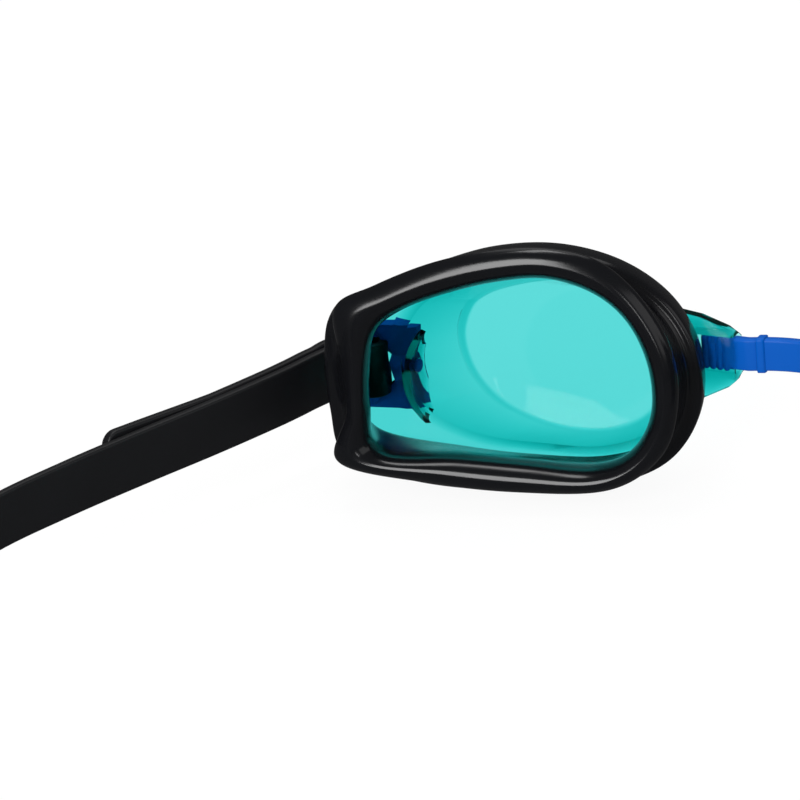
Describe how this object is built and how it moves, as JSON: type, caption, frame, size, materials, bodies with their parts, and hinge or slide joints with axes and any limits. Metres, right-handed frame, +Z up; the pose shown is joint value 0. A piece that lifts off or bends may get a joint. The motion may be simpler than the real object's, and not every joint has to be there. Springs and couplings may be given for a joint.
{
  "type": "swim goggles",
  "caption": "Low-profile swim goggles with wrapped soft gaskets, tinted clear lenses, a toothed nose bridge and a strap looped through swivelling temple clips.",
  "frame": {"origin": "on the surface the goggles stand on, under the middle of their bounding box", "axes": "+X towards the left eye's temple, -Y the way the wearer looks, +Z up when worn and when standing on the gaskets' lower edges"},
  "size_m": [0.218, 0.1729, 0.0439],
  "materials": {
    "lens_plastic": "clear teal polycarbonate, polished",
    "gasket_silicone": "moulded black silicone, semi-gloss",
    "strap_silicone": "moulded black silicone, satin",
    "clip_plastic": "moulded blue nylon, semi-gloss"
  },
  "bodies": {
    "bridge": {"nose_bridge": "clip_plastic"},
    "left_eyecup": {"left_lens": "lens_plastic", "left_gasket": "gasket_silicone", "left_clip_pivot": "clip_plastic"},
    "right_eyecup": {"right_lens": "lens_plastic", "right_gasket": "gasket_silicone", "right_clip_pivot": "clip_plastic"},
    "left_clip": {"left_side_clip": "clip_plastic"},
    "right_clip": {"right_side_clip": "clip_plastic"},
    "strap": {"strap": "strap_silicone"}
  },
  "joints": [
    {"name": "left_eyecup_slide", "type": "slide", "parent": "bridge", "child": "left_eyecup", "axis": [1, 0, 0], "range_m": [-0.0012, 0]},
    {"name": "right_eyecup_slide", "type": "slide", "parent": "bridge", "child": "right_eyecup", "axis": [-1, 0, 0], "range_m": [-0.0012, 0]},
    {"name": "strap_swing", "type": "hinge", "parent": "bridge", "child": "strap", "pos_m": [0, -0.0747, 0.0162], "axis": [1, 0, 0], "range_deg": [-6, 20]},
    {"name": "left_clip_swivel", "type": "hinge", "parent": "left_eyecup", "child": "left_clip", "pos_m": [0.0661, -0.0747, 0.0162], "axis": [1, 0, 0], "range_deg": [-6, 20]},
    {"name": "right_clip_swivel", "type": "hinge", "parent": "right_eyecup", "child": "right_clip", "pos_m": [-0.0661, -0.0747, 0.0162], "axis": [1, 0, 0], "range_deg": [-6, 20]}
  ],
  "couplings": [
    {"joint": "left_clip_swivel", "follows": "strap_swing", "ratio": 1},
    {"joint": "right_clip_swivel", "follows": "strap_swing", "ratio": 1}
  ]
}
